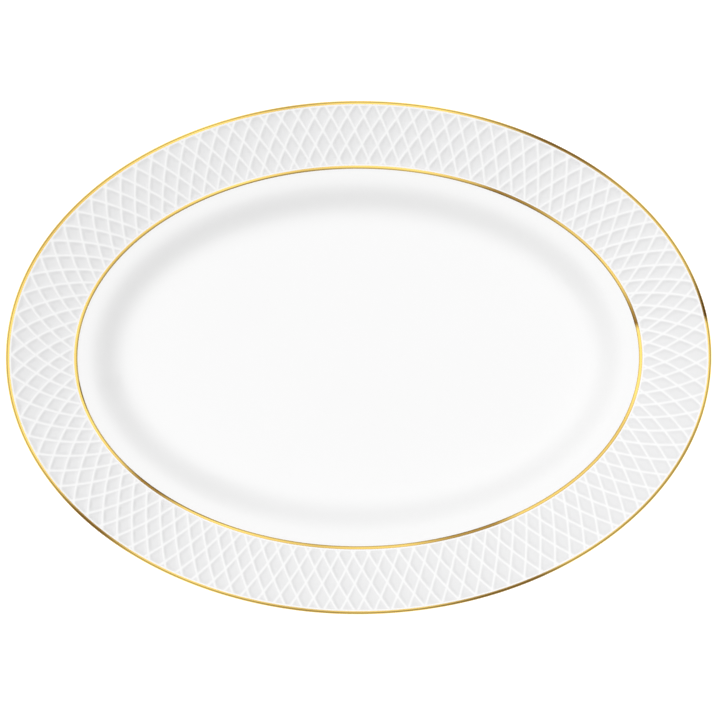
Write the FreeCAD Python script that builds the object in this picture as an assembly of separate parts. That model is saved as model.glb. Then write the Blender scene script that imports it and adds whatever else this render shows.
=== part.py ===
import FreeCAD, Part
import math
import os

# Oval china serving platter, resting on its foot ring.  Millimetres, +Z up, +X along
# the long axis.  The origin is the middle of the footprint, on the table.
#
# Every ring of the platter is an ellipse with semi-axes (a, b) at a height z.  b follows
# from a, so each surface is a plane profile of (a, z) swept round the oval.  A depth is
# always measured into the platter, square to the finished surface.

# ---- overall ----
LENGTH = 355.0
WIDTH = 257.6
HEIGHT = 27.0

# ---- coats ----
GLAZE = 0.40            # every glaze coat, over the fired body
GOLD_PROUD = 0.12       # how far the edge gold stands above the glaze
GOLD_SINK = 0.18        # how far both gold bands are let into the glaze
BAND_CROWN = 0.22       # rise of the shoulder band along its middle

# ---- lip, a full round ----
LIP_RADIUS = 1.6
EDGE_BAND_TOP = 94.3    # degrees round the lip, where 90 is straight up
EDGE_BAND_BOTTOM = -20.0
EDGE_LINE_INSET = 1.0   # middle of the edge gold, seen from above

# ---- rim ----
RIM_SLOPE = math.radians(11.7)
BACK_SLOPE = math.radians(14.3)
SHOULDER_A = 142.2      # middle of the shoulder gold band, long and short semi-axes
SHOULDER_B = 95.55
BAND_WIDTH = 1.7
BED_OUTER = 174.8       # walls of the shallow bed that holds the lattice
BED_INNER = 143.9
BED_DEPTH = 0.5

# ---- shoulder and well: (distance in from the shoulder band, drop) ----
WELL = (
    (0.0, 0.0),
    (4.0, 0.55),
    (8.0, 1.5),
    (12.0, 3.6),
    (16.0, 6.4),
    (20.0, 8.75),
    (23.5, 9.9),
    (27.0, 10.32),
    (30.5, 10.4),
)
FLOOR_THICKNESS = 5.3

# ---- underside, from below the shoulder to the foot ring's outer face: (a, z) ----
BACK_WALL = (
    (138.0, 13.95),
    (134.8, 12.95),
    (132.0, 11.75),
    (128.8, 9.85),
    (124.4, 6.95),
    (121.8, 5.6),
    (119.9, 4.75),
    (118.8, 3.85),
    (118.45, 2.6),
)
FOOT_OUTER = 118.2      # glazed outer face of the foot ring, at the glaze line
FOOT_INNER = 113.65     # glazed inner face
FOOT_ROUND = 0.6        # both corners of the bare foot
FOOT_FILLET = 1.3       # where the inner face meets the recess
GLAZE_LINE = 0.9        # the foot is bare below this height

# ---- rim lattice: two families of raised ribs that cross ----
RIBS = 106              # in each family
RIB_WIDTH = 0.95
SIDE_GAP = 0.02         # between the lattice and the side walls of its bed
CELL_REACH = 5          # a rib on the rim crosses at most this many of the other family
OFF_RIM = 1.0           # cells are cut a little past the bed's walls

# The ribs crowd at the +X end, and stand wider apart and flatter at the -X end.  Each
# line is a wave round the oval: (order, cosine part, sine part).  Shifts are in ribs,
# leans in run along the rim for each unit across it.
SHIFT_SHARED = ((1, -0.17, 0.82), (2, 0.0, -0.056), (3, 0.0, 0.126))
SHIFT_OPPOSED = ((0, 0.673, 0.0), (1, -0.48, 0.03), (2, 0.03, 0.0), (3, -0.061, 0.0))
MEAN_LEAN = 0.578
LEAN_SHARED = ((0, MEAN_LEAN, 0.0), (1, -0.088, 0.0), (2, 0.024, 0.0), (3, -0.030, 0.0))
LEAN_OPPOSED = ((1, 0.0, -0.055),)

# ---- how finely things are worked out ----
ARC_STEPS = 7200        # steps round the middle of the rim
SOLVE_STEPS = 12
CROWN_FLATS = 6         # narrow flats across the crown of the shoulder band
SEW_GAP = 1e-4

# ---- worked out from the above ----
FULL_TURN = 2 * math.pi
R_BODY = LIP_RADIUS - GLAZE
R_GOLD_IN = LIP_RADIUS - GOLD_SINK
R_GOLD_OUT = LIP_RADIUS + GOLD_PROUD
LIP_A = LENGTH / 2 - R_GOLD_OUT
LIP_Z = HEIGHT - R_GOLD_OUT
RIM_TANGENT = 90 + math.degrees(RIM_SLOPE)
BACK_TANGENT = math.degrees(BACK_SLOPE) - 90
BAND_OUT = SHOULDER_A + BAND_WIDTH / 2
BREAK_A = SHOULDER_A - BAND_WIDTH / 2
RIM_RATIO = (WIDTH / 2 - SHOULDER_B) / (LENGTH / 2 - SHOULDER_A)
BREAK_B = SHOULDER_B - RIM_RATIO * BAND_WIDTH / 2
MID_A = (LENGTH / 2 - EDGE_LINE_INSET + SHOULDER_A) / 2
MID_B = (WIDTH / 2 - EDGE_LINE_INSET + SHOULDER_B) / 2


# ---- curves and surfaces ----

def short_axis(a, on_rim):
    """Short semi-axis of the ring whose long one is a.  The rim narrows a little
    towards the sides, and inside the break line every ring is an even step in."""
    ratio = RIM_RATIO if on_rim else 1.0
    return BREAK_B + ratio * (a - BREAK_A)


def v2(point):
    return FreeCAD.Vector(point[0], 0.0, point[1])


def line(p, q):
    return Part.LineSegment(v2(p), v2(q)).toBSpline()


def arc(p, q, r):
    return Part.Arc(v2(p), v2(q), v2(r)).toBSpline()


def polar(radius, degrees):
    """A point of the lip's round, about the lip's centre."""
    turn = math.radians(degrees)
    return (LIP_A + radius * math.cos(turn), LIP_Z + radius * math.sin(turn))


def lip_arc(radius, start, end):
    middle = (start + end) / 2
    return arc(polar(radius, start), polar(radius, middle), polar(radius, end))


def spline(points, run_in, run_out):
    """A smooth curve through the points, with its directions at both ends."""
    curve = Part.BSplineCurve()
    curve.interpolate(
        Points=[v2(p) for p in points],
        InitialTangent=v2(run_in),
        FinalTangent=v2(run_out),
    )
    return curve


def sweep_oval(curve):
    """The face that a profile curve makes round the oval."""
    half = math.sqrt(0.5)
    corners = (
        (1, 0, 1.0),
        (1, 1, half),
        (0, 1, 1.0),
        (-1, 1, half),
        (-1, 0, 1.0),
        (-1, -1, half),
        (0, -1, 1.0),
        (1, -1, half),
        (1, 0, 1.0),
    )
    points = curve.getPoles()
    on_rim = sum(p.x for p in points) / len(points) >= BREAK_A
    poles = []
    weights = []
    for cx, cy, weight in corners:
        row = []
        for p in points:
            row.append(FreeCAD.Vector(cx * p.x, cy * short_axis(p.x, on_rim), p.z))
        poles.append(row)
        weights.append([weight * w for w in curve.getWeights()])
    surface = Part.BSplineSurface()
    surface.buildFromPolesMultsKnots(
        poles,
        (3, 2, 2, 2, 3),
        curve.getMultiplicities(),
        (0.0, 1.0, 2.0, 3.0, 4.0),
        curve.getKnots(),
        False,
        False,
        2,
        curve.Degree,
        weights,
    )
    return surface.toShape()


def disc(a, z):
    """The flat oval that closes a surface at the middle of the platter."""
    ellipse = Part.Ellipse(FreeCAD.Vector(0, 0, z), a, short_axis(a, False))
    return Part.Face(Part.Wire(ellipse.toShape()))


def flat_ring(outer, inner, z):
    """A flat oval face with an oval hole."""
    edges = []
    for a in (outer, inner):
        ellipse = Part.Ellipse(FreeCAD.Vector(0, 0, z), a, short_axis(a, False))
        edges.append(Part.Wire(ellipse.toShape()))
    return Part.makeFace(edges, "Part::FaceMakerBullseye")


def close_up(profile, flats=()):
    """One solid, bounded by profile curves swept round and by flat faces."""
    faces = [sweep_oval(curve) for curve in profile] + list(flats)
    skin = Part.makeCompound(faces)
    skin.sewShape(SEW_GAP)
    solid = Part.makeSolid(skin.Shells[0])
    if solid.Volume < 0:
        solid.reverse()
    return solid


# ---- profile stretches that several pieces share ----

def rim_z(a, depth=0.0):
    """Height of the rim's upper face at a, or of a layer below it."""
    tangent = polar(LIP_RADIUS, RIM_TANGENT)
    fall = (tangent[0] - a) * math.tan(RIM_SLOPE)
    return tangent[1] - fall - depth / math.cos(RIM_SLOPE)


def back_z(a, depth=0.0):
    """Height of the rim's underside at a, or of a layer above it."""
    tangent = polar(LIP_RADIUS, BACK_TANGENT)
    fall = (tangent[0] - a) * math.tan(BACK_SLOPE)
    return tangent[1] - fall + depth / math.cos(BACK_SLOPE)


FLOOR_A = BREAK_A - WELL[-1][0]
FLOOR_Z = rim_z(BREAK_A) - WELL[-1][1]
RECESS_A = FOOT_INNER - FOOT_FILLET
RECESS_Z = FLOOR_Z - FLOOR_THICKNESS


def rim_run(start, end, depth):
    return line((start, rim_z(start, depth)), (end, rim_z(end, depth)))


def rim_step(a, start_depth, end_depth):
    return line((a, rim_z(a, start_depth)), (a, rim_z(a, end_depth)))


def beside(points, curve, distance):
    """The points of a curve, each moved square to it, to the right of its run."""
    moved = []
    for p in points:
        tangent = curve.tangent(curve.parameter(v2(p)))[0]
        moved.append((p[0] + distance * tangent.z, p[1] - distance * tangent.x))
    return moved


def well_curve(depth):
    """Shoulder and well wall, from the break line to the floor."""
    points = [(BREAK_A - inset, rim_z(BREAK_A) - drop) for inset, drop in WELL]
    run_in = (-1.0, -math.tan(RIM_SLOPE))
    run_out = (-1.0, 0.0)
    curve = spline(points, run_in, run_out)
    moved = beside(points, curve, -depth)
    moved[0] = (BREAK_A, rim_z(BREAK_A, depth))
    return spline(moved, run_in, run_out)


def back_curve(depth):
    """Underside from the break line, down the wall, to the foot's outer face."""
    points = [(BREAK_A, back_z(BREAK_A))] + list(BACK_WALL)
    end = points[-1]
    run_in = (-1.0, -math.tan(BACK_SLOPE))
    run_out = (FOOT_OUTER - end[0], GLAZE_LINE - end[1])
    curve = spline(points, run_in, run_out)
    moved = beside(points, curve, depth)
    moved[0] = (BREAK_A, back_z(BREAK_A, depth))
    moved[-1] = (end[0] - depth, end[1])
    return spline(moved, run_in, run_out)


def body_top():
    """Upper face of the fired body, from the lip to the floor."""
    outer = BED_OUTER + GLAZE
    inner = BED_INNER - GLAZE
    sunk = BED_DEPTH + GLAZE
    return [
        lip_arc(R_BODY, EDGE_BAND_BOTTOM, RIM_TANGENT),
        line(polar(R_BODY, RIM_TANGENT), (outer, rim_z(outer, GLAZE))),
        rim_step(outer, GLAZE, sunk),
        rim_run(outer, inner, sunk),
        rim_step(inner, sunk, GLAZE),
        rim_run(inner, BREAK_A, GLAZE),
        well_curve(GLAZE),
    ]


def underside(radius, depth):
    """Underside at a depth, from the gold's lower edge to the glaze line."""
    wall_top = (BACK_WALL[-1][0] - depth, BACK_WALL[-1][1])
    return [
        lip_arc(radius, EDGE_BAND_BOTTOM, BACK_TANGENT),
        line(polar(radius, BACK_TANGENT), (BREAK_A, back_z(BREAK_A, depth))),
        back_curve(depth),
        line(wall_top, (FOOT_OUTER - depth, GLAZE_LINE)),
    ]


def recess_side(depth):
    """Inner face of the foot ring and the fillet at its top."""
    wall = FOOT_INNER + depth
    radius = FOOT_FILLET + depth
    spring = RECESS_Z - FOOT_FILLET
    slant = radius * math.sqrt(0.5)
    middle = (RECESS_A + slant, spring + slant)
    return [
        line((wall, GLAZE_LINE), (wall, spring)),
        arc((wall, spring), middle, (RECESS_A, spring + radius)),
    ]


# ---- the pieces ----

def biscuit_body():
    """Fired porcelain: rim, shoulder, well and foot ring."""
    outer = FOOT_OUTER - GLAZE
    inner = FOOT_INNER + GLAZE
    nook = FOOT_ROUND * (1 - math.sqrt(0.5))
    foot = [
        line((outer, GLAZE_LINE), (outer, FOOT_ROUND)),
        arc((outer, FOOT_ROUND), (outer - nook, nook), (outer - FOOT_ROUND, 0.0)),
        arc((inner + FOOT_ROUND, 0.0), (inner + nook, nook), (inner, FOOT_ROUND)),
        line((inner, FOOT_ROUND), (inner, GLAZE_LINE)),
    ]
    profile = body_top() + underside(R_BODY, GLAZE) + foot + recess_side(GLAZE)
    flats = [
        disc(FLOOR_A, FLOOR_Z - GLAZE),
        disc(RECESS_A, RECESS_Z + GLAZE),
        flat_ring(outer - FOOT_ROUND, inner + FOOT_ROUND, 0.0),
    ]
    return close_up(profile, flats)


def face_glaze():
    """Glaze over the whole upper face, with the lattice bed and gold grooves in it."""
    profile = [
        well_curve(0.0),
        rim_step(BREAK_A, 0.0, GOLD_SINK),
        rim_run(BREAK_A, BAND_OUT, GOLD_SINK),
        rim_step(BAND_OUT, GOLD_SINK, 0.0),
        rim_run(BAND_OUT, BED_INNER, 0.0),
        rim_step(BED_INNER, 0.0, BED_DEPTH),
        rim_run(BED_INNER, BED_OUTER, BED_DEPTH),
        rim_step(BED_OUTER, BED_DEPTH, 0.0),
        line((BED_OUTER, rim_z(BED_OUTER)), polar(LIP_RADIUS, RIM_TANGENT)),
        lip_arc(LIP_RADIUS, RIM_TANGENT, EDGE_BAND_TOP),
        line(polar(LIP_RADIUS, EDGE_BAND_TOP), polar(R_GOLD_IN, EDGE_BAND_TOP)),
        lip_arc(R_GOLD_IN, EDGE_BAND_TOP, EDGE_BAND_BOTTOM),
        line(polar(R_GOLD_IN, EDGE_BAND_BOTTOM), polar(R_BODY, EDGE_BAND_BOTTOM)),
    ]
    flats = [disc(FLOOR_A, FLOOR_Z), disc(FLOOR_A, FLOOR_Z - GLAZE)]
    return close_up(profile + body_top(), flats)


def back_glaze():
    """Glaze on the underside, from the gold's lower edge to the foot's glaze line."""
    ends = [
        line(polar(R_BODY, EDGE_BAND_BOTTOM), polar(LIP_RADIUS, EDGE_BAND_BOTTOM)),
        line((FOOT_OUTER, GLAZE_LINE), (FOOT_OUTER - GLAZE, GLAZE_LINE)),
    ]
    return close_up(underside(LIP_RADIUS, 0.0) + underside(R_BODY, GLAZE) + ends)


def foot_recess_glaze():
    """Glaze inside the foot ring, parted from the rest by the bare foot."""
    end = line((FOOT_INNER, GLAZE_LINE), (FOOT_INNER + GLAZE, GLAZE_LINE))
    flats = [disc(RECESS_A, RECESS_Z), disc(RECESS_A, RECESS_Z + GLAZE)]
    return close_up(recess_side(0.0) + recess_side(GLAZE) + [end], flats)


def edge_gold_band():
    """Gold that wraps the outer half of the lip."""
    low = EDGE_BAND_BOTTOM
    high = EDGE_BAND_TOP
    return close_up([
        lip_arc(R_GOLD_IN, high, low),
        line(polar(R_GOLD_IN, low), polar(R_GOLD_OUT, low)),
        lip_arc(R_GOLD_OUT, low, high),
        line(polar(R_GOLD_OUT, high), polar(R_GOLD_IN, high)),
    ])


def shoulder_gold_band():
    """Gold line with a slight crown, where the rim turns down into the well."""
    radius = ((BAND_WIDTH / 2) ** 2 + BAND_CROWN**2) / (2 * BAND_CROWN)
    crown = []
    for i in range(CROWN_FLATS + 1):
        off = BAND_WIDTH * (0.5 - i / CROWN_FLATS)
        lift = math.sqrt(radius**2 - off**2) - (radius - BAND_CROWN)
        crown.append((SHOULDER_A + off, rim_z(SHOULDER_A + off, -lift)))
    profile = [rim_run(BREAK_A, BAND_OUT, GOLD_SINK), rim_step(BAND_OUT, GOLD_SINK, 0.0)]
    profile += [line(p, q) for p, q in zip(crown, crown[1:])]
    profile.append(rim_step(BREAK_A, 0.0, GOLD_SINK))
    return close_up(profile)


# ---- the lattice ----
# s is a length along the middle of the rim and w a distance outward from it.  theta is
# s as a fraction of the full round, given as an angle.  lean is +1 for the ribs that
# run forward as they go outward and -1 for those that run back.

def wave(terms, theta):
    total = 0.0
    for order, cosine, sine in terms:
        total += cosine * math.cos(order * theta) + sine * math.sin(order * theta)
    return total


def mid_rim_lengths():
    """Length round the middle of the rim, up to each even step of eccentric angle."""
    lengths = [0.0]
    step = FULL_TURN / ARC_STEPS
    for i in range(ARC_STEPS):
        t = (i + 0.5) * step
        lengths.append(lengths[-1] + step * math.hypot(MID_A * math.sin(t), MID_B * math.cos(t)))
    return lengths


MID_LENGTHS = mid_rim_lengths()
ROUND = MID_LENGTHS[-1]


def on_plan(s, w):
    """Plan position of a point of the rim."""
    s -= math.floor(s / ROUND) * ROUND
    low = 0
    high = ARC_STEPS
    while high - low > 1:
        half = (low + high) // 2
        if MID_LENGTHS[half] <= s:
            low = half
        else:
            high = half
    part = (s - MID_LENGTHS[low]) / (MID_LENGTHS[high] - MID_LENGTHS[low])
    t = FULL_TURN * (low + part) / ARC_STEPS
    nx = MID_B * math.cos(t)
    ny = MID_A * math.sin(t)
    size = math.hypot(nx, ny)
    return (MID_A * math.cos(t) + w * nx / size, MID_B * math.sin(t) + w * ny / size)


def rib(count, lean):
    """Where a rib crosses the middle of the rim, and how much it slants."""
    theta = FULL_TURN * count / RIBS
    for _ in range(SOLVE_STEPS):
        shift = wave(SHIFT_SHARED, theta) + lean * wave(SHIFT_OPPOSED, theta)
        theta = FULL_TURN * (count - shift) / RIBS
    slant = wave(LEAN_SHARED, theta) + lean * wave(LEAN_OPPOSED, theta)
    return theta * ROUND / FULL_TURN, slant


def crossing(p, q):
    """(s, w) where forward rib p crosses back-running rib q."""
    s_p, slant_p = rib(p, 1)
    s_q, slant_q = rib(q, -1)
    w = (s_q - s_p) / (slant_p + slant_q)
    return s_p + slant_p * w, w


def rim_cells():
    """Plan outlines of the diamond hollows between the ribs."""
    side = RIB_WIDTH / 2 * RIBS / ROUND * math.hypot(1.0, MEAN_LEAN)
    reach = (BED_OUTER - BED_INNER) / 2 + OFF_RIM
    cells = []
    for p in range(RIBS):
        for q in range(p - CELL_REACH, p + CELL_REACH + 1):
            corners = (
                crossing(p + side, q + side),
                crossing(p + side, q + 1 - side),
                crossing(p + 1 - side, q + 1 - side),
                crossing(p + 1 - side, q + side),
            )
            across = [w for _, w in corners]
            if min(across) < reach and max(across) > -reach:
                cells.append([on_plan(s, w) for s, w in corners])
    return cells


def rim_lattice():
    """The raised net of ribs, standing in its bed, flush with the rim."""
    outer = BED_OUTER - SIDE_GAP
    inner = BED_INNER + SIDE_GAP
    slab = close_up([
        rim_run(inner, outer, BED_DEPTH),
        rim_step(outer, BED_DEPTH, 0.0),
        rim_run(outer, inner, 0.0),
        rim_step(inner, 0.0, BED_DEPTH),
    ])
    low = FLOOR_Z
    prisms = []
    for outline in rim_cells():
        ring = [FreeCAD.Vector(x, y, low) for x, y in outline]
        cell = Part.Face(Part.makePolygon(ring + ring[:1]))
        prisms.append(cell.extrude(FreeCAD.Vector(0, 0, HEIGHT)))
    return slab.cut(prisms).Solids[0]


PIECES = (
    biscuit_body,
    face_glaze,
    back_glaze,
    foot_recess_glaze,
    edge_gold_band,
    shoulder_gold_band,
    rim_lattice,
)

os.makedirs("parts", exist_ok=True)
for make_piece in PIECES:
    shape = make_piece()
    print(make_piece.__name__, "valid" if shape.isValid() else "NOT VALID")
    shape.exportStep("parts/" + make_piece.__name__ + ".step")
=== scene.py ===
import math

import bmesh
import bpy
import numpy as np
from mathutils import Matrix, Vector


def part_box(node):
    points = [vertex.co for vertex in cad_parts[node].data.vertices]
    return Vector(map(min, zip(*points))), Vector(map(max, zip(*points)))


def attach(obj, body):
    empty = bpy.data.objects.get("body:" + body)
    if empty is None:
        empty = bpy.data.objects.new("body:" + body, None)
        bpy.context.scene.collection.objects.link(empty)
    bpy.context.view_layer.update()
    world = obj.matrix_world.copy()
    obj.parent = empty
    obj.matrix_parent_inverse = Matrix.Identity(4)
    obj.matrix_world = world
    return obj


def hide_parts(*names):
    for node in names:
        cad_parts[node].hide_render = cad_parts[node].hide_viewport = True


# Oval china serving platter: the visible glaze, relief, gold and bare foot, built over
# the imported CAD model.  Shapes are worked out in millimetres and written in metres.
#
# Every ring of the platter is an ellipse with semi-axes (a, b) at a height z, as in the
# CAD model, so a surface is a profile of (a, z) points swept round the oval.

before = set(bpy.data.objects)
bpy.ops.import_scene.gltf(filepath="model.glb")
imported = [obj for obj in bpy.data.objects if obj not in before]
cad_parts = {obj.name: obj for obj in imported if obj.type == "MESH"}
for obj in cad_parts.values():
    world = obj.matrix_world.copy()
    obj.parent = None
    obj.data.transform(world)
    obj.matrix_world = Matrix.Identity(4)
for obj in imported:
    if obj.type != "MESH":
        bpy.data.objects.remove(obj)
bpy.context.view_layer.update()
MM = 0.001
FULL_TURN = 2 * math.pi

# ---- sizes that the boxes of the CAD parts give, in millimetres ----
EDGE_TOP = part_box("edge_gold_band")[1] / MM
BAND_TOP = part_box("shoulder_gold_band")[1] / MM
LATTICE_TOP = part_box("rim_lattice")[1] / MM
FACE_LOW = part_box("face_glaze")[0] / MM
BACK_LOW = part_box("back_glaze")[0] / MM
RECESS_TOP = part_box("foot_recess_glaze")[1] / MM

# ---- sizes of the real platter that no box gives ----
GLAZE = 0.40
GOLD_PROUD = 0.12
GOLD_SINK = 0.18
BAND_CROWN = 0.22
BAND_WIDTH = 1.7
LIP_RADIUS = 1.6
EDGE_BAND_TOP = 94.3
EDGE_BAND_BOTTOM = -20.0
EDGE_LINE_INSET = 1.0
RIM_SLOPE = math.radians(11.7)
BACK_SLOPE = math.radians(14.3)
BED_WIDTH = 30.9
BED_DEPTH = 0.5
WELL = (
    (0.0, 0.0),
    (4.0, 0.55),
    (8.0, 1.5),
    (12.0, 3.6),
    (16.0, 6.4),
    (20.0, 8.75),
    (23.5, 9.9),
    (27.0, 10.32),
    (30.5, 10.4),
)
BACK_WALL = (
    (138.0, 13.95),
    (134.8, 12.95),
    (132.0, 11.75),
    (128.8, 9.85),
    (124.4, 6.95),
    (121.8, 5.6),
    (119.9, 4.75),
    (118.8, 3.85),
    (118.45, 2.6),
)
FOOT_OUTER = 118.2
FOOT_ROUND = 0.6
FOOT_FILLET = 1.3

# ---- the lattice: the same waves round the oval as in the CAD model ----
RIBS = 106
HOLLOW_DEPTH = 0.52     # of a cell, below the ribs
FLANK = 2.2             # from a rib's crest to the flat of the cell
WHITE_FROM = 0.12       # a rib is at its whitest out to here from its crest
WHITE_TO = 0.88         # and a cell at its greyest from here on
BORDER_FLANK = 1.1      # from a wall of the bed to the flat of the cell
SHIFT_SHARED = ((1, -0.17, 0.82), (2, 0.0, -0.056), (3, 0.0, 0.126))
SHIFT_OPPOSED = ((0, 0.673, 0.0), (1, -0.48, 0.03), (2, 0.03, 0.0), (3, -0.061, 0.0))
LEAN_SHARED = ((0, 0.578, 0.0), (1, -0.088, 0.0), (2, 0.024, 0.0), (3, -0.030, 0.0))
LEAN_OPPOSED = ((1, 0.0, -0.055),)

# ---- how finely the meshes are made ----
SIDES = 720             # points round every plain ring
ARC_STEPS = 7200        # steps round the middle of the rim
SOLVE_STEPS = 12
RIB_SPACING = 7.0       # usual distance between ribs, square to them
RIB_SAMPLES = (0.0, 0.3, 0.65, 1.05, 1.55, 2.2)     # mesh lines out from a rib's crest
CELLS_ACROSS = 6        # the rim is at most this many cells either side of its middle
SEAM = 0.12             # width of the seam between the relief and the plain rings
DISC_RINGS = (0.8, 0.6, 0.4, 0.2)       # rings of a flat disc, as shares of its edge
BRUSH_STEP = 0.25       # map units across a gold band, from one ring of it to the next
HAIR = 1e-9             # keeps a point that lies on a rib from being rounded off it
SHARP_ANGLE = math.radians(60)

# ---- colours, as linear red, green and blue ----
WHITE_THIN = (0.93, 0.93, 0.93)
WHITE_POOLED = (0.91, 0.91, 0.91)
# The lattice's ribs and cells.  The grey of the cells is partly pooled glaze and partly painted
# shade in the hollows.
RIB_WHITE = (0.95, 0.95, 0.95)
CELL_POOLING_AND_SHADE = (0.822, 0.822, 0.826)
GOLD_PALE = (0.85, 0.63, 0.19)
GOLD_DEEP = (0.74, 0.51, 0.13)
# Dark colour of the painted reflections on the gold.
GOLD_REFLECTION_DARK = (0.20, 0.10, 0.02)
BARE_DEEP = (0.78, 0.75, 0.70)
BARE_PALE = (0.88, 0.865, 0.83)
FLOOR_GREY = (0.9, 0.9, 0.9)

# ---- studio ----
LIGHT_FROM = (-0.175, 0.165, 1.0)
LIGHT_FOCUS = 1.8
LIGHT_STRENGTH = 1.05
WALL_LOW = 0.34         # brightness of the walls at the floor
WALL_HIGH = 0.53        # and from WALL_TOP up
WALL_TOP = 0.8          # heights in the room are sines of the angle above the floor
SCREENS_FULL = 0.62     # the screens and their gaps are at full strength up to here
SCREENS_GONE = 0.86     # and have faded out here
FLOOR_HALF = 6.0        # metres
FLOOR_DROP = 0.2        # millimetres below the foot
FLOOR_GLOW = 0.6

# ---- camera ----
CAMERA_DISTANCE = 4.0   # metres
CAMERA_TILT_X = math.radians(4.5)
CAMERA_TILT_Y = math.radians(1.0)
AIM_X = -0.05
AIM_Y = -1.1
FRAME_WIDTH = 360.7     # what the picture spans at the height of the edge
SENSOR_WIDTH = 36.0
# Brightness of the walls' screens round the room: (degrees from +X, share of full).
SCREENS = (
    (-180, 1.0),
    (-144, 1.0),
    (-132, 0.6),
    (-120, 1.0),
    (-82, 1.0),
    (-68, 0.6),
    (-56, 1.0),
    (9, 1.0),
    (10, 0.1),
    (15, 0.3),
    (22, 0.9),
    (48, 0.95),
    (60, 0.5),
    (72, 1.0),
    (180, 1.0),
)

# Tone of the gold round the oval: (degrees from +X, share of the bright
# gold).  The dark stretches are painted in.  They stand for what the real bands most
# likely reflect, and aren't known to be part of the platter.
GOLD_REFLECTION_TONES = (
    (-180, 0.9),
    (-165, 1.0),
    (-157, 0.75),
    (-151, 0.12),
    (-146, 0.12),
    (-139, 0.85),
    (-128, 1.0),
    (-103, 0.6),
    (-90, 0.8),
    (-76, 0.8),
    (-63, 0.25),
    (-51, 0.15),
    (-44, 0.8),
    (-15, 0.65),
    (-7, 1.0),
    (6, 1.0),
    (7, 0.0),
    (10, 0.2),
    (15, 0.75),
    (20, 0.85),
    (33, 0.65),
    (41, 0.2),
    (50, 0.1),
    (57, 0.55),
    (72, 1.0),
    (90, 0.95),
    (106, 0.65),
    (124, 1.0),
    (158, 0.65),
    (174, 0.95),
    (180, 0.9),
)

# ---- worked out from the above ----
R_BODY = LIP_RADIUS - GLAZE
R_GOLD_IN = LIP_RADIUS - GOLD_SINK
R_GOLD_OUT = LIP_RADIUS + GOLD_PROUD
LIP_A = EDGE_TOP.x - R_GOLD_OUT
LIP_Z = EDGE_TOP.z - R_GOLD_OUT
RIM_TANGENT = 90 + math.degrees(RIM_SLOPE)
BACK_TANGENT = math.degrees(BACK_SLOPE) - 90
BAND_OUT = BAND_TOP.x
SHOULDER_A = BAND_OUT - BAND_WIDTH / 2
BREAK_A = BAND_OUT - BAND_WIDTH
RIM_RATIO = (EDGE_TOP.y - BAND_TOP.y) / (EDGE_TOP.x - BAND_TOP.x)
BREAK_B = BAND_TOP.y - RIM_RATIO * BAND_WIDTH
BED_OUTER = LATTICE_TOP.x
BED_INNER = BED_OUTER - BED_WIDTH
MID_A = (EDGE_TOP.x - EDGE_LINE_INSET + SHOULDER_A) / 2
MID_B = BREAK_B + RIM_RATIO * (MID_A - BREAK_A)
FLOOR_A = BREAK_A - WELL[-1][0]
FLOOR_Z = FACE_LOW.z + GLAZE
FOOT_INNER = RECESS_TOP.x - GLAZE
RECESS_A = FOOT_INNER - FOOT_FILLET
RECESS_Z = RECESS_TOP.z - GLAZE
GLAZE_LINE = BACK_LOW.z


# ---- profiles: lists of (a, z) ----

def polar(radius, degrees):
    turn = math.radians(degrees)
    return (LIP_A + radius * math.cos(turn), LIP_Z + radius * math.sin(turn))


def lip_arc(radius, start, end, steps):
    return [polar(radius, start + (end - start) * i / steps) for i in range(steps + 1)]


def round_arc(centre, radius, start, end, steps):
    points = []
    for i in range(steps + 1):
        turn = math.radians(start + (end - start) * i / steps)
        points.append((centre[0] + radius * math.cos(turn), centre[1] + radius * math.sin(turn)))
    return points


def rim_z(a, depth=0.0):
    tangent = polar(LIP_RADIUS, RIM_TANGENT)
    return tangent[1] - (tangent[0] - a) * math.tan(RIM_SLOPE) - depth / math.cos(RIM_SLOPE)


def back_z(a, depth=0.0):
    tangent = polar(LIP_RADIUS, BACK_TANGENT)
    return tangent[1] - (tangent[0] - a) * math.tan(BACK_SLOPE) + depth / math.cos(BACK_SLOPE)


def rim_run(start, end, depth):
    return [(start, rim_z(start, depth)), (end, rim_z(end, depth))]


def smooth_curve(points, run_in, run_out, steps):
    """A clamped cubic spline through the points, with steps points on each span."""
    p = np.array(points, float)
    h = np.linalg.norm(np.diff(p, axis=0), axis=1)
    count = len(p)
    ends = [np.array(d, float) / np.linalg.norm(d) for d in (run_in, run_out)]
    left = np.zeros((count, count))
    right = np.zeros((count, 2))
    left[0, 0] = left[-1, -1] = 1.0
    right[0], right[-1] = ends
    for i in range(1, count - 1):
        left[i, i - 1] = h[i]
        left[i, i] = 2 * (h[i - 1] + h[i])
        left[i, i + 1] = h[i - 1]
        before = (p[i] - p[i - 1]) / h[i - 1]
        after = (p[i + 1] - p[i]) / h[i]
        right[i] = 3 * (h[i] * before + h[i - 1] * after)
    slopes = np.linalg.solve(left, right)
    curve = []
    for i in range(count - 1):
        for k in range(steps):
            u = k / steps
            blend = (2 * u**3 - 3 * u**2 + 1, u**3 - 2 * u**2 + u, 3 * u**2 - 2 * u**3, u**3 - u**2)
            curve.append(
                blend[0] * p[i] + blend[1] * h[i] * slopes[i]
                + blend[2] * p[i + 1] + blend[3] * h[i] * slopes[i + 1]
            )
    curve.append(p[-1])
    return [tuple(c) for c in curve]


def beside(curve, distance):
    """The curve moved square to itself, to the right of its run."""
    p = np.array(curve)
    run = np.gradient(p, axis=0)
    run /= np.linalg.norm(run, axis=1)[:, None]
    moved = p + distance * np.stack([run[:, 1], -run[:, 0]], 1)
    return [tuple(m) for m in moved]


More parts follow.
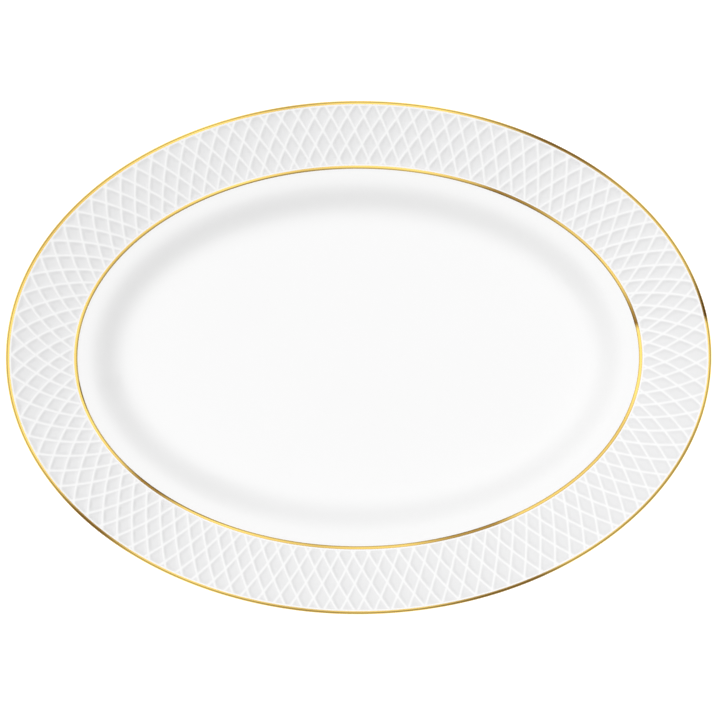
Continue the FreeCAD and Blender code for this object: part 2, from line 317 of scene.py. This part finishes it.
def well_curve(depth, steps):
    """Shoulder and well wall, from the break line to the floor."""
    top = rim_z(BREAK_A)
    drop = (top - FLOOR_Z) / WELL[-1][1]
    points = [(BREAK_A - inset, top - fall * drop) for inset, fall in WELL]
    curve = smooth_curve(points, (-1.0, -math.tan(RIM_SLOPE)), (-1.0, 0.0), steps)
    if depth:
        curve = beside(curve, -depth)
        curve[0] = (BREAK_A, rim_z(BREAK_A, depth))
        curve[-1] = (FLOOR_A, FLOOR_Z - depth)
    return curve


def underside(radius, depth, lip_steps, wall_steps):
    """Underside at a depth, from the gold's lower edge to the glaze line."""
    points = [(BREAK_A, back_z(BREAK_A))] + list(BACK_WALL)
    end = points[-1]
    run_out = (FOOT_OUTER - end[0], GLAZE_LINE - end[1])
    wall = smooth_curve(points, (-1.0, -math.tan(BACK_SLOPE)), run_out, wall_steps)
    if depth:
        wall = beside(wall, depth)
        wall[0] = (BREAK_A, back_z(BREAK_A, depth))
        wall[-1] = (end[0] - depth, end[1])
    lip = lip_arc(radius, EDGE_BAND_BOTTOM, BACK_TANGENT, lip_steps)
    middle = [(a, back_z(a, depth)) for a in np.linspace(lip[-1][0], BREAK_A, 12)[1:-1]]
    return lip + middle + wall + [(FOOT_OUTER - depth, GLAZE_LINE)]


def recess_side(depth, steps):
    """Inner face of the foot ring and the fillet at its top, from the bottom up."""
    spring = RECESS_Z - FOOT_FILLET
    fillet = round_arc((RECESS_A, spring), FOOT_FILLET + depth, 0, 90, steps)
    return [(FOOT_INNER + depth, GLAZE_LINE)] + fillet


# ---- meshes ----

def ring_b(a, on_rim):
    """Short semi-axis of the ring whose long one is a."""
    return BREAK_B + np.where(on_rim, RIM_RATIO, 1.0) * (a - BREAK_A)


def ring_points(a, z):
    """Points round one ring, in millimetres."""
    t = np.arange(SIDES) * FULL_TURN / SIDES
    b = ring_b(a, a >= BREAK_A)
    return np.stack([a * np.cos(t), b * np.sin(t), np.full(SIDES, z)], 1)


def ring_faces(first, second):
    """Quads between two rings, given the number of each ring's first point."""
    i = np.arange(SIDES)
    j = (i + 1) % SIDES
    return np.stack([first + i, first + j, second + j, second + i], 1).tolist()


def make_piece(name, points, faces, material, nodes, attributes=None, uv=None):
    """One smooth closed piece that stands for CAD nodes."""
    mesh = bpy.data.meshes.new(name)
    mesh.from_pydata((np.asarray(points) * MM).tolist(), [], faces)
    for key, values in (attributes or {}).items():
        layer = mesh.attributes.new(key, "FLOAT", "POINT")
        layer.data.foreach_set("value", np.asarray(values, np.float32))
    if uv is not None:
        layer = mesh.uv_layers.new(name="along_and_across")
        corners = np.zeros(len(mesh.loops), np.int32)
        mesh.loops.foreach_get("vertex_index", corners)
        layer.data.foreach_set("uv", np.asarray(uv, np.float32)[corners].ravel())
    work = bmesh.new()
    work.from_mesh(mesh)
    bmesh.ops.recalc_face_normals(work, faces=work.faces)
    work.to_mesh(mesh)
    work.free()
    mesh.shade_smooth()
    mesh.set_sharp_from_angle(angle=SHARP_ANGLE)
    mesh.materials.append(material)
    piece = bpy.data.objects.new(name, mesh)
    bpy.context.scene.collection.objects.link(piece)
    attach(piece, "root")
    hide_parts(*nodes)
    return piece


def swept(profile, closed):
    """Points and faces of a profile swept round.  An open profile starts and ends on
    flat discs, which run in to the middle."""
    rings = [ring_points(a, z) for a, z in profile]
    faces = []
    for i in range(len(rings) - 1):
        faces += ring_faces(i * SIDES, (i + 1) * SIDES)
    if closed:
        faces += ring_faces((len(rings) - 1) * SIDES, 0)
        return np.concatenate(rings), faces
    for edge, (a, z) in ((0, profile[0]), (len(profile) - 1, profile[-1])):
        last = edge * SIDES
        b = float(ring_b(a, False))
        t = np.arange(SIDES) * FULL_TURN / SIDES
        for share in DISC_RINGS:
            ring = np.stack([share * a * np.cos(t), share * b * np.sin(t), np.full(SIDES, z)], 1)
            here = len(rings) * SIDES
            rings.append(ring)
            faces += ring_faces(last, here)
            last = here
        faces.append([last + i for i in range(SIDES)])
    return np.concatenate(rings), faces


# ---- the relief of the rim ----
# s is a length along the middle of the rim and w a distance outward from it.

def wave(terms, theta):
    total = np.zeros_like(theta)
    for order, cosine, sine in terms:
        total += cosine * np.cos(order * theta) + sine * np.sin(order * theta)
    return total


MID_STEP = FULL_TURN / ARC_STEPS
MID_T = (np.arange(ARC_STEPS) + 0.5) * MID_STEP
MID_SPEED = np.hypot(MID_A * np.sin(MID_T), MID_B * np.cos(MID_T))
MID_LENGTHS = np.concatenate([[0.0], np.cumsum(MID_SPEED * MID_STEP)])
ROUND = MID_LENGTHS[-1]


def rib(count, lean):
    """Where a rib crosses the middle of the rim, and how much it slants."""
    theta = FULL_TURN * count / RIBS
    for _ in range(SOLVE_STEPS):
        shift = wave(SHIFT_SHARED, theta) + lean * wave(SHIFT_OPPOSED, theta)
        theta = FULL_TURN * (count - shift) / RIBS
    slant = wave(LEAN_SHARED, theta) + lean * wave(LEAN_OPPOSED, theta)
    return theta * ROUND / FULL_TURN, slant


def on_plan(s, w):
    """Plan position of points of the rim, and how much wider the rim is there than at
    its middle."""
    t = np.interp(np.mod(s, ROUND), MID_LENGTHS, np.arange(ARC_STEPS + 1) * MID_STEP)
    nx = MID_B * np.cos(t)
    ny = MID_A * np.sin(t)
    size = np.hypot(nx, ny)
    bend = MID_A * MID_B / np.hypot(MID_A * np.sin(t), MID_B * np.cos(t)) ** 3
    return MID_A * np.cos(t) + w * nx / size, MID_B * np.sin(t) + w * ny / size, 1 + w * bend


def ring_of(x, y):
    """Long semi-axis of the ring that passes through each plan position."""
    a = np.full(np.shape(x), MID_A)
    for _ in range(8):
        b = BREAK_B + RIM_RATIO * (a - BREAK_A)
        value = (x / a) ** 2 + (y / b) ** 2 - 1
        slope = -2 * x**2 / a**3 - 2 * RIM_RATIO * y**2 / b**3
        a = a - value / slope
    return a


def rise(distance, start, end):
    """0 up to the start, 1 from the end on, with a smooth step between."""
    part = np.clip((distance - start) / (end - start), 0.0, 1.0)
    return 0.5 - 0.5 * np.cos(np.pi * part)


def from_ribs(count, s, w, lean, wider):
    """Distance to the nearer of the two ribs that a point lies between."""
    nearest = None
    before = np.floor(count + HAIR)
    for rib_count in (before, before + 1):
        rib_s, slant = rib(rib_count, lean)
        gap = np.abs(s - rib_s - lean * slant * w) * wider / np.hypot(1.0, slant * wider)
        nearest = gap if nearest is None else np.minimum(nearest, gap)
    return nearest


def rib_grid():
    """A grid whose lines run along both families of ribs.  Each point has its plan
    position, its ring, its share of the cells' depth and its share of their grey."""
    half = [d / RIB_SPACING for d in RIB_SAMPLES]
    lines = np.array(half + [0.5] + [1 - d for d in reversed(half[1:])])
    per_cell = len(lines)
    reach = CELLS_ACROSS * per_cell
    i = np.arange(RIBS * per_cell)[:, None]
    j = i + np.arange(-reach, reach + 1)[None, :]
    forward = i // per_cell + lines[i % per_cell]
    backward = j // per_cell + lines[j % per_cell]
    s_f, slant_f = rib(forward, 1)
    s_b, slant_b = rib(backward, -1)
    w = (s_b - s_f) / (slant_f + slant_b)
    s = s_f + slant_f * w
    x, y, wider = on_plan(s, w)
    a = ring_of(x, y)
    to_forward = from_ribs(forward, s, w, 1, wider)
    to_backward = from_ribs(backward, s, w, -1, wider)
    to_wall = np.minimum(BED_OUTER - a, a - BED_INNER)
    sunk = rise(to_forward, 0.0, FLANK) * rise(to_backward, 0.0, FLANK)
    sunk *= rise(to_wall, 0.0, BORDER_FLANK)
    # The cells' grey, from the ribs' edges in: partly pooled glaze, partly painted shade in the
    # hollows.
    cell = rise(to_forward, WHITE_FROM, WHITE_TO) * rise(to_backward, WHITE_FROM, WHITE_TO)
    return np.stack([x, y, a, sunk, cell], -1)


def grid_quads(total, width):
    """Corner numbers of the quads of a grid whose last row meets its first."""
    rows, columns = np.indices((total, width - 2)).reshape(2, -1)
    here = rows * width + columns + 1
    after = (rows + 1) % total * width + columns + 1
    return np.stack([here, after - 1, after, here + 1], 1)


def moved_to_ring(x, y, a):
    """A plan position moved along its line from the middle to the ring a."""
    scale = a / float(ring_of(np.array(x), np.array(y)))
    for _ in range(3):
        reached = float(ring_of(np.array(x * scale), np.array(y * scale)))
        scale *= 1 + (a - reached) / a
    return x * scale, y * scale


def cut_at_walls(points, quads):
    """Faces between the walls of the bed.  A quad that a wall crosses is cut there, with
    new points added to the list.  Also returns the numbers of each wall's new points."""
    rings = np.array([point[2] for point in points])
    inside = (rings > BED_INNER) & (rings < BED_OUTER)
    walls = {BED_INNER: [], BED_OUTER: []}
    made = {}

    def cut(p, q):
        """Number of the new point where edge p q meets a wall."""
        edge = (min(p, q), max(p, q))
        if edge not in made:
            outside = q if inside[p] else p
            wall = BED_OUTER if rings[outside] > MID_A else BED_INNER
            share = (wall - rings[p]) / (rings[q] - rings[p])
            x, y, _, _, cell = [f + share * (g - f) for f, g in zip(points[p], points[q])]
            x, y = moved_to_ring(x, y, wall)
            made[edge] = len(points)
            walls[wall].append(len(points))
            points.append([x, y, wall, 0.0, cell])
        return made[edge]

    held = inside[quads]
    faces = quads[held.all(1)].tolist()
    for quad in quads[held.any(1) & ~held.all(1)].tolist():
        outline = []
        for p, q in zip(quad, quad[1:] + quad[:1]):
            if inside[p]:
                outline.append(p)
            if inside[p] != inside[q]:
                outline.append(cut(p, q))
        faces.append(outline)
    return faces, walls


def relief_sheet():
    """The lattice as one sheet, cut off at the walls of its bed.  Returns points, faces,
    the cell share of each point and the points along the inner and the outer wall."""
    grid = rib_grid()
    points = grid.reshape(-1, grid.shape[2]).tolist()
    faces, walls = cut_at_walls(points, grid_quads(*grid.shape[:2]))
    used = sorted({p for face in faces for p in face})
    renumber = {p: n for n, p in enumerate(used)}
    faces = [[renumber[p] for p in face] for face in faces]
    table = np.array([points[p] for p in used])
    height = rim_z(table[:, 2], HOLLOW_DEPTH * table[:, 3])
    xyz = np.stack([table[:, 0], table[:, 1], height], 1)
    inner = [renumber[p] for p in walls[BED_INNER]]
    outer = [renumber[p] for p in walls[BED_OUTER]]
    return xyz, faces, table[:, 4], inner, outer


def zip_up(points, chain, ring):
    """Triangles between an uneven chain of points and an even ring beside it."""
    turn = np.arctan2(points[:, 1] * MID_A / MID_B, points[:, 0]) % FULL_TURN
    one = sorted(chain, key=lambda p: turn[p])
    two = sorted(ring, key=lambda p: turn[p])
    faces = []
    i = j = 0
    while i < len(one) or j < len(two):
        next_one = turn[one[(i + 1) % len(one)]] + (FULL_TURN if i + 1 >= len(one) else 0)
        next_two = turn[two[(j + 1) % len(two)]] + (FULL_TURN if j + 1 >= len(two) else 0)
        p = one[i % len(one)]
        q = two[j % len(two)]
        if j >= len(two) or (i < len(one) and next_one < next_two):
            faces.append([p, one[(i + 1) % len(one)], q])
            i += 1
        else:
            faces.append([p, two[(j + 1) % len(two)], q])
            j += 1
    return faces


# ---- materials ----

def around_room(stops, tones):
    """Sets a ramp that goes once round, from (degrees from +X, tone) pairs."""
    stops[0].position = 0.0
    stops[1].position = 1.0
    for degrees, _ in tones[1:-1]:
        stops.new((degrees + 180) / 360)
    for stop, (_, tone) in zip(stops, tones):
        stop.color = (tone, tone, tone, 1.0)


def new_material(name):
    """A material with its node tree, its shader and a helper that adds nodes."""
    material = bpy.data.materials.new(name)
    material.use_nodes = True
    tree = material.node_tree
    shader = tree.nodes["Principled BSDF"]

    def node(kind, **settings):
        made = tree.nodes.new(kind)
        for key, value in settings.items():
            if hasattr(made, key):
                setattr(made, key, value)
            else:
                made.inputs[key.replace("_", " ").title()].default_value = value
        return made

    return material, tree, shader, node


def mixed(node, link, share, first, second):
    """Colour between two others, by a share that runs from 0 to 1."""
    mix = node("ShaderNodeMix", data_type="RGBA")
    mix.inputs["A"].default_value = (*first, 1.0)
    mix.inputs["B"].default_value = (*second, 1.0)
    link(share, mix.inputs["Factor"])
    return mix.outputs["Result"]


def spread(node, link, value, low, high):
    """A value that runs from 0 to 1, spread from low to high."""
    ranged = node("ShaderNodeMapRange")
    ranged.inputs["To Min"].default_value = low
    ranged.inputs["To Max"].default_value = high
    link(value, ranged.inputs["Value"])
    return ranged.outputs["Result"]


def glaze_material(name, thin, pooled_and_shaded, follows_relief):
    """White glaze: bright where it lies thin, a little greyer where it pools.  On the
    lattice the grey of the cells is also painted shade in the hollows.
    """
    material, tree, shader, node = new_material(name)
    link = tree.links.new
    place = node("ShaderNodeTexCoord")
    clouds = node("ShaderNodeTexNoise", scale=16.0, detail=2.0, roughness=0.5)
    link(place.outputs["Object"], clouds.inputs["Vector"])
    if follows_relief:
        # The cell share sets how much pooled glaze and painted shade grey the lattice's cells.
        share = node("ShaderNodeAttribute", attribute_name="cell").outputs["Fac"]
    else:
        patches = node("ShaderNodeMapRange")
        patches.inputs["From Min"].default_value = 0.35
        patches.inputs["From Max"].default_value = 0.75
        patches.inputs["To Max"].default_value = 0.25
        link(clouds.outputs["Fac"], patches.inputs["Value"])
        share = patches.outputs["Result"]
    link(mixed(node, link, share, thin, pooled_and_shaded), shader.inputs["Base Color"])
    link(spread(node, link, clouds.outputs["Fac"], 0.06, 0.12), shader.inputs["Roughness"])
    swell = node("ShaderNodeTexNoise", scale=55.0, detail=1.0, roughness=0.4)
    link(place.outputs["Object"], swell.inputs["Vector"])
    skin = node("ShaderNodeTexNoise", scale=900.0, detail=2.0, roughness=0.5)
    link(place.outputs["Object"], skin.inputs["Vector"])
    waves = node("ShaderNodeBump", strength=0.25, distance=0.0004)
    link(swell.outputs["Fac"], waves.inputs["Height"])
    peel = node("ShaderNodeBump", strength=0.12, distance=0.00003)
    link(skin.outputs["Fac"], peel.inputs["Height"])
    link(waves.outputs["Normal"], peel.inputs["Normal"])
    link(peel.outputs["Normal"], shader.inputs["Normal"])
    shader.inputs["IOR"].default_value = 1.5
    return material


def gold_material():
    """Fired gold: bright lustre, with faint brush lines that run along the band, and
    with dark stretches round the oval that are painted reflections."""
    material, tree, shader, node = new_material("fired_gold")
    link = tree.links.new
    strokes = node("ShaderNodeUVMap", uv_map="along_and_across")
    stretch = node("ShaderNodeMapping")
    stretch.inputs["Scale"].default_value = (0.05, 9.0, 1.0)
    link(strokes.outputs["UV"], stretch.inputs["Vector"])
    lines = node("ShaderNodeTexNoise", scale=1.0, detail=4.0, roughness=0.6)
    link(stretch.outputs["Vector"], lines.inputs["Vector"])
    bright = mixed(node, link, lines.outputs["Fac"], GOLD_PALE, GOLD_DEEP)
    place = node("ShaderNodeTexCoord")
    around = node("ShaderNodeTexGradient", gradient_type="RADIAL")
    link(place.outputs["Object"], around.inputs["Vector"])
    tones = node("ShaderNodeValToRGB")
    link(around.outputs["Fac"], tones.inputs["Fac"])
    around_room(tones.color_ramp.elements, GOLD_REFLECTION_TONES)
    # Painted reflections: the gold turns dark in stretches round the oval.
    painted_reflection = node("ShaderNodeMix", data_type="RGBA")
    painted_reflection.inputs["A"].default_value = (*GOLD_REFLECTION_DARK, 1.0)
    link(tones.outputs["Color"], painted_reflection.inputs["Factor"])
    link(bright, painted_reflection.inputs["B"])
    link(painted_reflection.outputs["Result"], shader.inputs["Base Color"])
    link(spread(node, link, lines.outputs["Fac"], 0.05, 0.12), shader.inputs["Roughness"])
    bump = node("ShaderNodeBump", strength=0.2, distance=0.00002)
    link(lines.outputs["Fac"], bump.inputs["Height"])
    link(bump.outputs["Normal"], shader.inputs["Normal"])
    shader.inputs["Metallic"].default_value = 1.0
    return material


def bare_material():
    """Unglazed porcelain: matte, with a fine fired grain."""
    material, tree, shader, node = new_material("bare_porcelain")
    link = tree.links.new
    place = node("ShaderNodeTexCoord")
    grain = node("ShaderNodeTexNoise", scale=2600.0, detail=3.0, roughness=0.7)
    link(place.outputs["Object"], grain.inputs["Vector"])
    colour = mixed(node, link, grain.outputs["Fac"], BARE_DEEP, BARE_PALE)
    link(colour, shader.inputs["Base Color"])
    link(spread(node, link, grain.outputs["Fac"], 0.65, 0.9), shader.inputs["Roughness"])
    bump = node("ShaderNodeBump", strength=0.5, distance=0.00008)
    link(grain.outputs["Fac"], bump.inputs["Height"])
    link(bump.outputs["Normal"], shader.inputs["Normal"])
    return material


# ---- the pieces ----

def gold_ring(name, profile, node_name, material):
    points, faces = swept(profile, closed=True)
    t = np.arange(SIDES) * FULL_TURN / SIDES
    along = np.tile(t * MID_A, len(profile))
    across = np.repeat(np.arange(len(profile)) * BRUSH_STEP, SIDES)
    uv = np.stack([along, across], 1)
    return make_piece(name, points, faces, material, [node_name], uv=uv)


def gold_edge(material):
    outside = lip_arc(R_GOLD_OUT, EDGE_BAND_BOTTOM, EDGE_BAND_TOP, steps=20)
    inside = lip_arc(R_GOLD_IN, EDGE_BAND_TOP, EDGE_BAND_BOTTOM, steps=6)
    return gold_ring("gold_edge", outside + inside, "edge_gold_band", material)


def gold_shoulder(material):
    radius = ((BAND_WIDTH / 2) ** 2 + BAND_CROWN**2) / (2 * BAND_CROWN)
    steps = 12
    crown = []
    for i in range(steps + 1):
        off = BAND_WIDTH / 2 - BAND_WIDTH * i / steps
        lift = math.sqrt(radius**2 - off**2) - (radius - BAND_CROWN)
        crown.append((SHOULDER_A + off, rim_z(SHOULDER_A + off, -lift)))
    bed = rim_run(BREAK_A, BAND_OUT, GOLD_SINK)
    return gold_ring("gold_shoulder", crown + bed, "shoulder_gold_band", material)


def glazed_well(material):
    """Glaze of the shoulder, the wall and the floor, from under the shoulder gold in."""
    top = rim_run(SHOULDER_A, BREAK_A, GOLD_SINK) + well_curve(0.0, steps=6)
    bottom = [(SHOULDER_A, rim_z(SHOULDER_A, GLAZE))] + well_curve(GLAZE, steps=2)
    points, faces = swept(top[::-1] + bottom, closed=False)
    return make_piece("glazed_well", points, faces, material, ["face_glaze"])


def glazed_rim(material):
    """Glaze of the rim with its relief, from under one gold band to under the other."""
    sheet, faces, cell, inner, outer = relief_sheet()
    out = BED_OUTER + SEAM
    sunk = BED_DEPTH + GLAZE
    far = BED_OUTER + GLAZE
    near = BED_INNER - GLAZE
    profile = [(out, rim_z(out))]
    profile += lip_arc(LIP_RADIUS, RIM_TANGENT, EDGE_BAND_TOP, steps=2)
    profile += lip_arc(R_GOLD_IN, EDGE_BAND_TOP, EDGE_BAND_BOTTOM, steps=6)
    profile += lip_arc(R_BODY, EDGE_BAND_BOTTOM, RIM_TANGENT, steps=6)
    profile += [(far, rim_z(far, GLAZE)), (far, rim_z(far, sunk))]
    profile += [(near, rim_z(near, sunk)), (near, rim_z(near, GLAZE))]
    profile += [(SHOULDER_A, rim_z(SHOULDER_A, GLAZE))]
    profile += rim_run(SHOULDER_A, BAND_OUT, GOLD_SINK)
    profile += [(BAND_OUT, rim_z(BAND_OUT))]
    last = BED_INNER - SEAM
    profile += [(last, rim_z(last))]
    rings = [ring_points(a, z) for a, z in profile]
    start = len(sheet)
    points = np.concatenate([sheet] + rings)
    for i in range(len(rings) - 1):
        faces += ring_faces(start + i * SIDES, start + (i + 1) * SIDES)
    end = start + (len(rings) - 1) * SIDES
    faces += zip_up(points, outer, range(start, start + SIDES))
    faces += zip_up(points, inner, range(end, end + SIDES))
    share = np.concatenate([cell, np.zeros(len(points) - len(cell))])
    return make_piece(
        "glazed_rim",
        points,
        faces,
        material,
        ["face_glaze", "rim_lattice"],
        attributes={"cell": share},
    )


def glazed_back(material):
    outside = underside(LIP_RADIUS, 0.0, lip_steps=8, wall_steps=6)
    inside = underside(R_BODY, GLAZE, lip_steps=4, wall_steps=2)
    points, faces = swept(outside + inside[::-1], closed=True)
    return make_piece("glazed_back", points, faces, material, ["back_glaze"])


def glazed_recess(material):
    outside = recess_side(0.0, steps=8)
    inside = recess_side(GLAZE, steps=4)
    points, faces = swept(outside[::-1] + inside, closed=False)
    nodes = ["foot_recess_glaze"]
    return make_piece("glazed_recess", points, faces, material, nodes)


def porcelain_body(material):
    """The fired body, bare only where the foot ring stands on the table."""
    top = well_curve(GLAZE, steps=3)[::-1]
    near = BED_INNER - GLAZE
    far = BED_OUTER + GLAZE
    sunk = BED_DEPTH + GLAZE
    top += [(near, rim_z(near, GLAZE)), (near, rim_z(near, sunk))]
    top += [(far, rim_z(far, sunk)), (far, rim_z(far, GLAZE))]
    top += lip_arc(R_BODY, RIM_TANGENT, EDGE_BAND_BOTTOM, steps=8)
    back = underside(R_BODY, GLAZE, lip_steps=6, wall_steps=3)[1:]
    outer = FOOT_OUTER - GLAZE
    inner = FOOT_INNER + GLAZE
    foot = round_arc((outer - FOOT_ROUND, FOOT_ROUND), FOOT_ROUND, 0, -90, steps=6)
    foot += round_arc((inner + FOOT_ROUND, FOOT_ROUND), FOOT_ROUND, -90, -180, steps=6)
    recess = recess_side(GLAZE, steps=6)
    points, faces = swept(top + back + foot + recess, closed=False)
    nodes = ["biscuit_body"]
    return make_piece("porcelain_body", points, faces, material, nodes)


# ---- studio ----

def pale_floor():
    """A large pale table.  It glows for the camera and in mirrors, so that it stays plain
    white, but its glow doesn't light the underside of the platter."""
    mesh = bpy.data.meshes.new("floor")
    half = FLOOR_HALF
    corners = [(-half, -half, 0), (half, -half, 0), (half, half, 0), (-half, half, 0)]
    mesh.from_pydata(corners, [], [(0, 1, 2, 3)])
    floor = bpy.data.objects.new("floor", mesh)
    floor.location.z = -FLOOR_DROP * MM
    material, tree, shader, node = new_material("floor")
    link = tree.links.new
    ray = node("ShaderNodeLightPath")
    glow = spread(node, link, ray.outputs["Is Diffuse Ray"], FLOOR_GLOW, 0.0)
    link(glow, shader.inputs["Emission Strength"])
    shader.inputs["Base Color"].default_value = (*FLOOR_GREY, 1.0)
    shader.inputs["Roughness"].default_value = 1.0
    shader.inputs["Specular IOR Level"].default_value = 0.0
    shader.inputs["Emission Color"].default_value = (1.0, 1.0, 1.0, 1.0)
    mesh.materials.append(material)
    bpy.context.scene.collection.objects.link(floor)


def math_node(tree, operation, first, second):
    """Result of a sum on two values, each a number or another node's output."""
    made = tree.nodes.new("ShaderNodeMath")
    made.operation = operation
    for socket, value in zip(made.inputs, (first, second)):
        if isinstance(value, (int, float)):
            socket.default_value = value
        else:
            tree.links.new(value, socket)
    return made.outputs[0]


def even_step(tree, value, start, end, low, high):
    """Low up to the start, high from the end on, with a smooth step between."""
    made = tree.nodes.new("ShaderNodeMapRange")
    made.interpolation_type = "SMOOTHSTEP"
    tree.links.new(value, made.inputs["Value"])
    made.inputs["From Min"].default_value = start
    made.inputs["From Max"].default_value = end
    made.inputs["To Min"].default_value = low
    made.inputs["To Max"].default_value = high
    return made.outputs["Result"]


def overhead_light(tree, place, height):
    """A soft light, overhead and a little to the upper left, over dimmer walls."""
    facing = tree.nodes.new("ShaderNodeVectorMath")
    facing.operation = "DOT_PRODUCT"
    facing.inputs[1].default_value = Vector(LIGHT_FROM).normalized()
    tree.links.new(place, facing.inputs[0])
    ahead = math_node(tree, "MAXIMUM", facing.outputs["Value"], 0.0)
    lobe = math_node(tree, "POWER", ahead, LIGHT_FOCUS)
    walls = even_step(tree, height, 0.0, WALL_TOP, WALL_LOW, WALL_HIGH)
    return math_node(tree, "ADD", math_node(tree, "MULTIPLY", lobe, LIGHT_STRENGTH), walls)


def screen_gaps(tree, place, height):
    """Share of the light that is missing in the gaps between the walls' screens."""
    around = tree.nodes.new("ShaderNodeTexGradient")
    around.gradient_type = "RADIAL"
    tree.links.new(place, around.inputs["Vector"])
    screens = tree.nodes.new("ShaderNodeValToRGB")
    tree.links.new(around.outputs["Fac"], screens.inputs["Fac"])
    around_room(screens.color_ramp.elements, SCREENS)
    missing = math_node(tree, "SUBTRACT", 1.0, screens.outputs["Color"])
    low = even_step(tree, height, SCREENS_FULL, SCREENS_GONE, 1.0, 0.0)
    return math_node(tree, "MULTIPLY", missing, low)


def soft_room():
    """The room round the platter, which the camera itself sees as plain white."""
    world = bpy.data.worlds.new("room")
    bpy.context.scene.world = world
    world.use_nodes = True
    tree = world.node_tree
    place = tree.nodes.new("ShaderNodeTexCoord").outputs["Generated"]
    split = tree.nodes.new("ShaderNodeSeparateXYZ")
    tree.links.new(place, split.inputs["Vector"])
    height = split.outputs["Z"]
    lit = math_node(tree, "SUBTRACT", 1.0, screen_gaps(tree, place, height))
    light = math_node(tree, "MULTIPLY", overhead_light(tree, place, height), lit)
    seen = tree.nodes.new("ShaderNodeLightPath")
    plain = tree.nodes.new("ShaderNodeMix")
    plain.inputs["B"].default_value = 1.0
    tree.links.new(seen.outputs["Is Camera Ray"], plain.inputs["Factor"])
    tree.links.new(light, plain.inputs["A"])
    background = tree.nodes["Background"]
    tree.links.new(plain.outputs["Result"], background.inputs["Strength"])
    background.inputs["Color"].default_value = (1.0, 1.0, 1.0, 1.0)


def make_camera():
    """Looks down at the platter, a little off straight, from far enough to be flat."""
    aim = Vector((AIM_X * MM, AIM_Y * MM, EDGE_TOP.z * MM))
    back = Vector((-math.sin(CAMERA_TILT_X), math.sin(CAMERA_TILT_Y), 1.0)).normalized()
    right = Vector((0.0, 1.0, 0.0)).cross(back).normalized()
    up = back.cross(right)
    data = bpy.data.cameras.new("camera")
    data.sensor_width = SENSOR_WIDTH
    data.lens = SENSOR_WIDTH * CAMERA_DISTANCE / (FRAME_WIDTH * MM)
    data.clip_start = 0.1
    data.clip_end = 20.0
    camera = bpy.data.objects.new("camera", data)
    camera.location = aim + back * CAMERA_DISTANCE
    camera.rotation_euler = Matrix((right, up, back)).transposed().to_euler()
    bpy.context.scene.collection.objects.link(camera)
    bpy.context.scene.camera = camera


white = glaze_material("white_glaze", WHITE_THIN, WHITE_POOLED, follows_relief=False)
# Lattice glaze: white ribs, and cells greyed by pooled glaze and by painted shade in the hollows.
lattice = glaze_material("lattice_glaze", RIB_WHITE, CELL_POOLING_AND_SHADE, follows_relief=True)
gold = gold_material()
bare = bare_material()

glazed_well(white)
glazed_rim(lattice)
glazed_back(white)
glazed_recess(white)
porcelain_body(bare)
gold_edge(gold)
gold_shoulder(gold)

pale_floor()
soft_room()
make_camera()
bpy.context.scene.view_settings.view_transform = "Standard"
